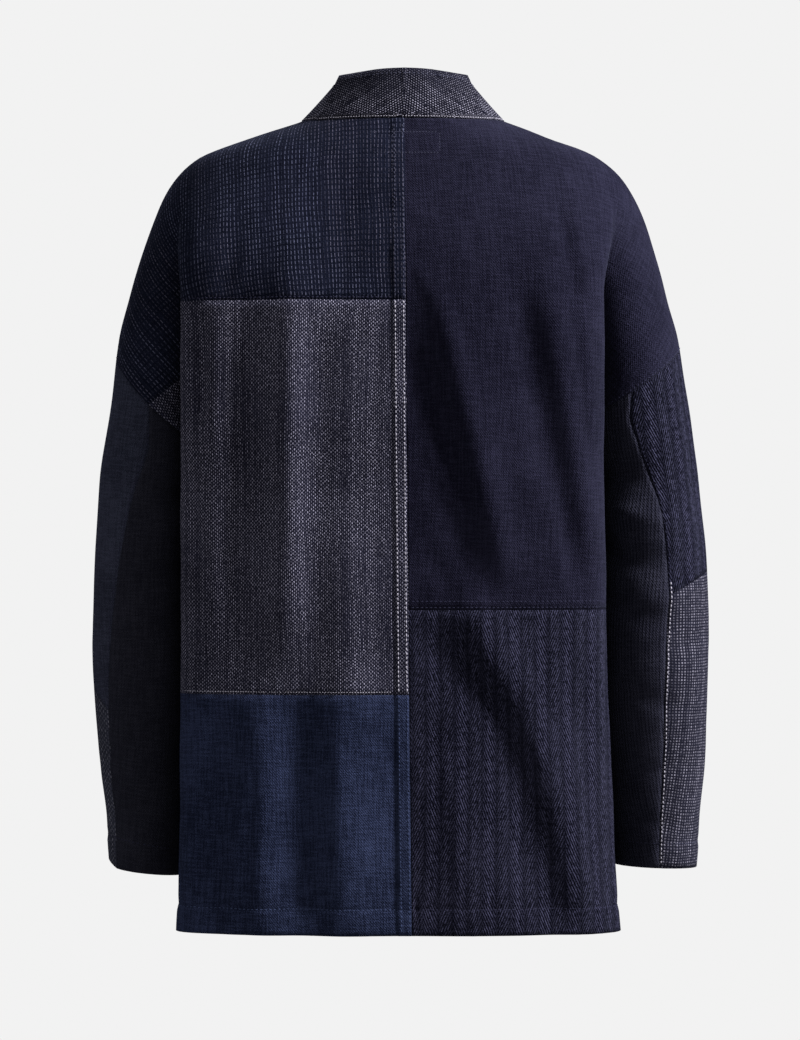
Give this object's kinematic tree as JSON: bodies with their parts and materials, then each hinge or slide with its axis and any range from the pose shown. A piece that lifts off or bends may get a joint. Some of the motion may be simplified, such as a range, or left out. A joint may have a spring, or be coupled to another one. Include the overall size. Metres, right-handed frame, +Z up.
{
  "type": "patched boro jacket",
  "caption": "Loose hip-length patchwork jacket in worn form, with dropped sleeves, an open front and a band collar; hollow cloth walls open at neck, hem and cuffs.",
  "frame": {"origin": "middle of the wearer's neck at the height of the nape seam, which is where the jacket hangs from", "axes": "+Z up, the jacket's front faces -Y, the wearer's left is +X"},
  "size_m": [0.5841, 0.2711, 0.8046],
  "materials": {
    "dash_cloth": "dark navy cotton with upright columns of blue-grey stitch dashes",
    "fleck_cloth": "charcoal navy cotton with dense pale flecks, matt",
    "indigo_cloth": "mid indigo slub cotton, matt, puckered at its seams",
    "plain_navy_cloth": "plain dark navy cotton of fine weave, matt",
    "herringbone_cloth": "dark navy cotton with a broken herringbone weave",
    "blue_black_cloth": "plain blue-black cotton, matt",
    "sparse_fleck_cloth": "dark cotton with sparse pale flecks",
    "black_cloth": "near-black cotton, matt",
    "stitch_grid_cloth": "charcoal cotton with a close grid of white stitches",
    "ribbed_black_cloth": "near-black cotton with fine upright ribs",
    "collar_cloth": "charcoal cotton with slanting pale flecks, folded double"
  },
  "bodies": {
    "root": {"back_left_upper": "dash_cloth", "back_left_middle": "fleck_cloth", "back_left_lower": "indigo_cloth", "back_right_upper": "plain_navy_cloth", "back_right_lower": "herringbone_cloth", "front_left": "dash_cloth", "front_right": "plain_navy_cloth", "sleeve_left_outer_upper": "blue_black_cloth", "sleeve_left_outer_lower": "sparse_fleck_cloth", "sleeve_left_inner": "black_cloth", "sleeve_right_outer_upper": "herringbone_cloth", "sleeve_right_outer_lower": "stitch_grid_cloth", "sleeve_right_inner": "ribbed_black_cloth", "collar_band": "collar_cloth"}
  },
  "joints": []
}
